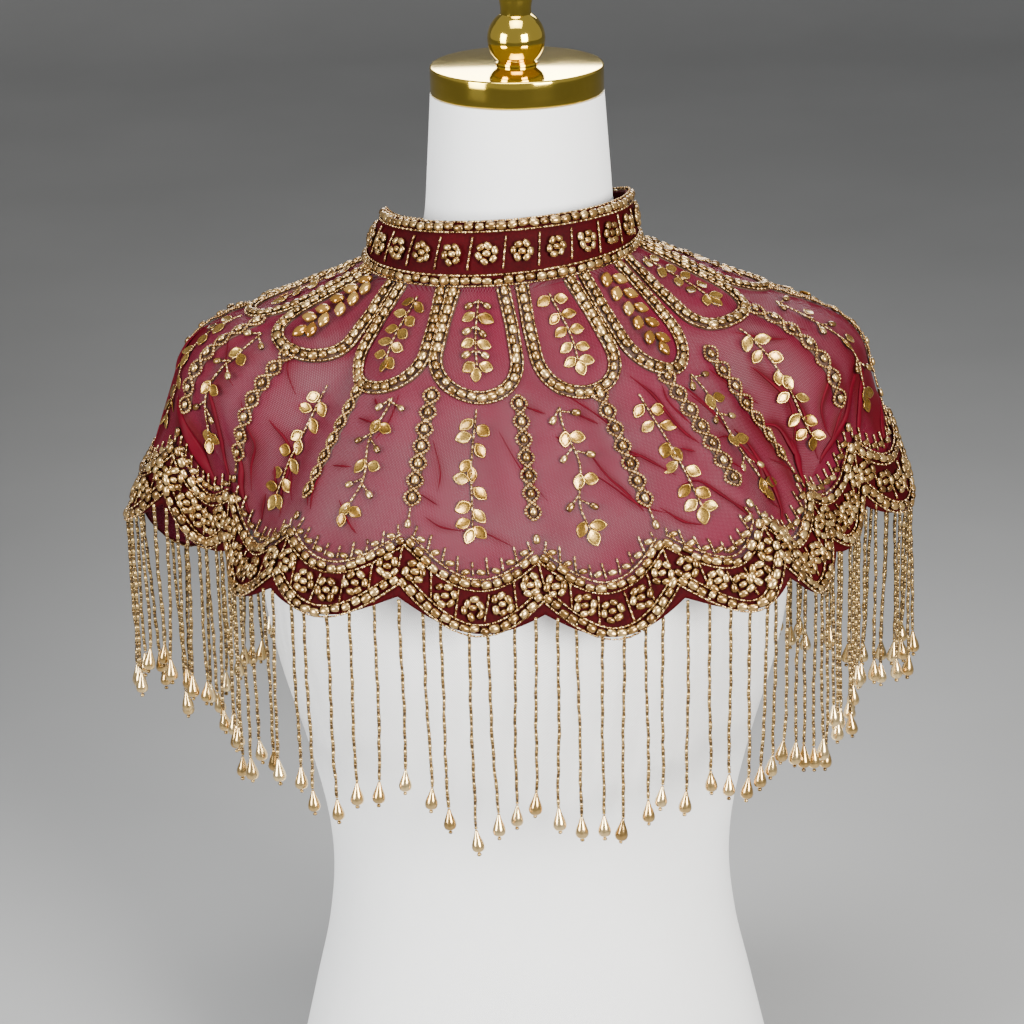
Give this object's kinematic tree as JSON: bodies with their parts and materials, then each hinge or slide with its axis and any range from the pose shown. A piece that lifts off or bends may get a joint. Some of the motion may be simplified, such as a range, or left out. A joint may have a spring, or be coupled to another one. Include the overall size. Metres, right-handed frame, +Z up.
{
  "type": "beaded capelet on dress form",
  "caption": "Short flared net capelet with a stand collar, beaded hem band and bead fringe, worn on a limbless dress form with a metal neck cap.",
  "frame": {"origin": "centre of the dress form's flat underside", "axes": "+Z up, -Y towards the front of the capelet, +X towards the wearer's left side"},
  "size_m": [0.4651, 0.3193, 0.7296],
  "materials": {
    "form_cloth": "matte white jersey",
    "polished_gold": "polished, mirror bright",
    "velvet_band": "dark red velvet",
    "red_net": "sheer fine red net",
    "gold_beads": "champagne gold glass and metallic beads"
  },
  "bodies": {
    "root": {"form_torso": "form_cloth", "neck_cap": "polished_gold", "finial": "polished_gold", "collar": "velvet_band", "cape_net": "red_net", "hem_band": "velvet_band", "fringe": "gold_beads", "button_upper": "gold_beads", "button_lower": "gold_beads", "loop_upper": "velvet_band", "loop_lower": "velvet_band"}
  },
  "joints": []
}
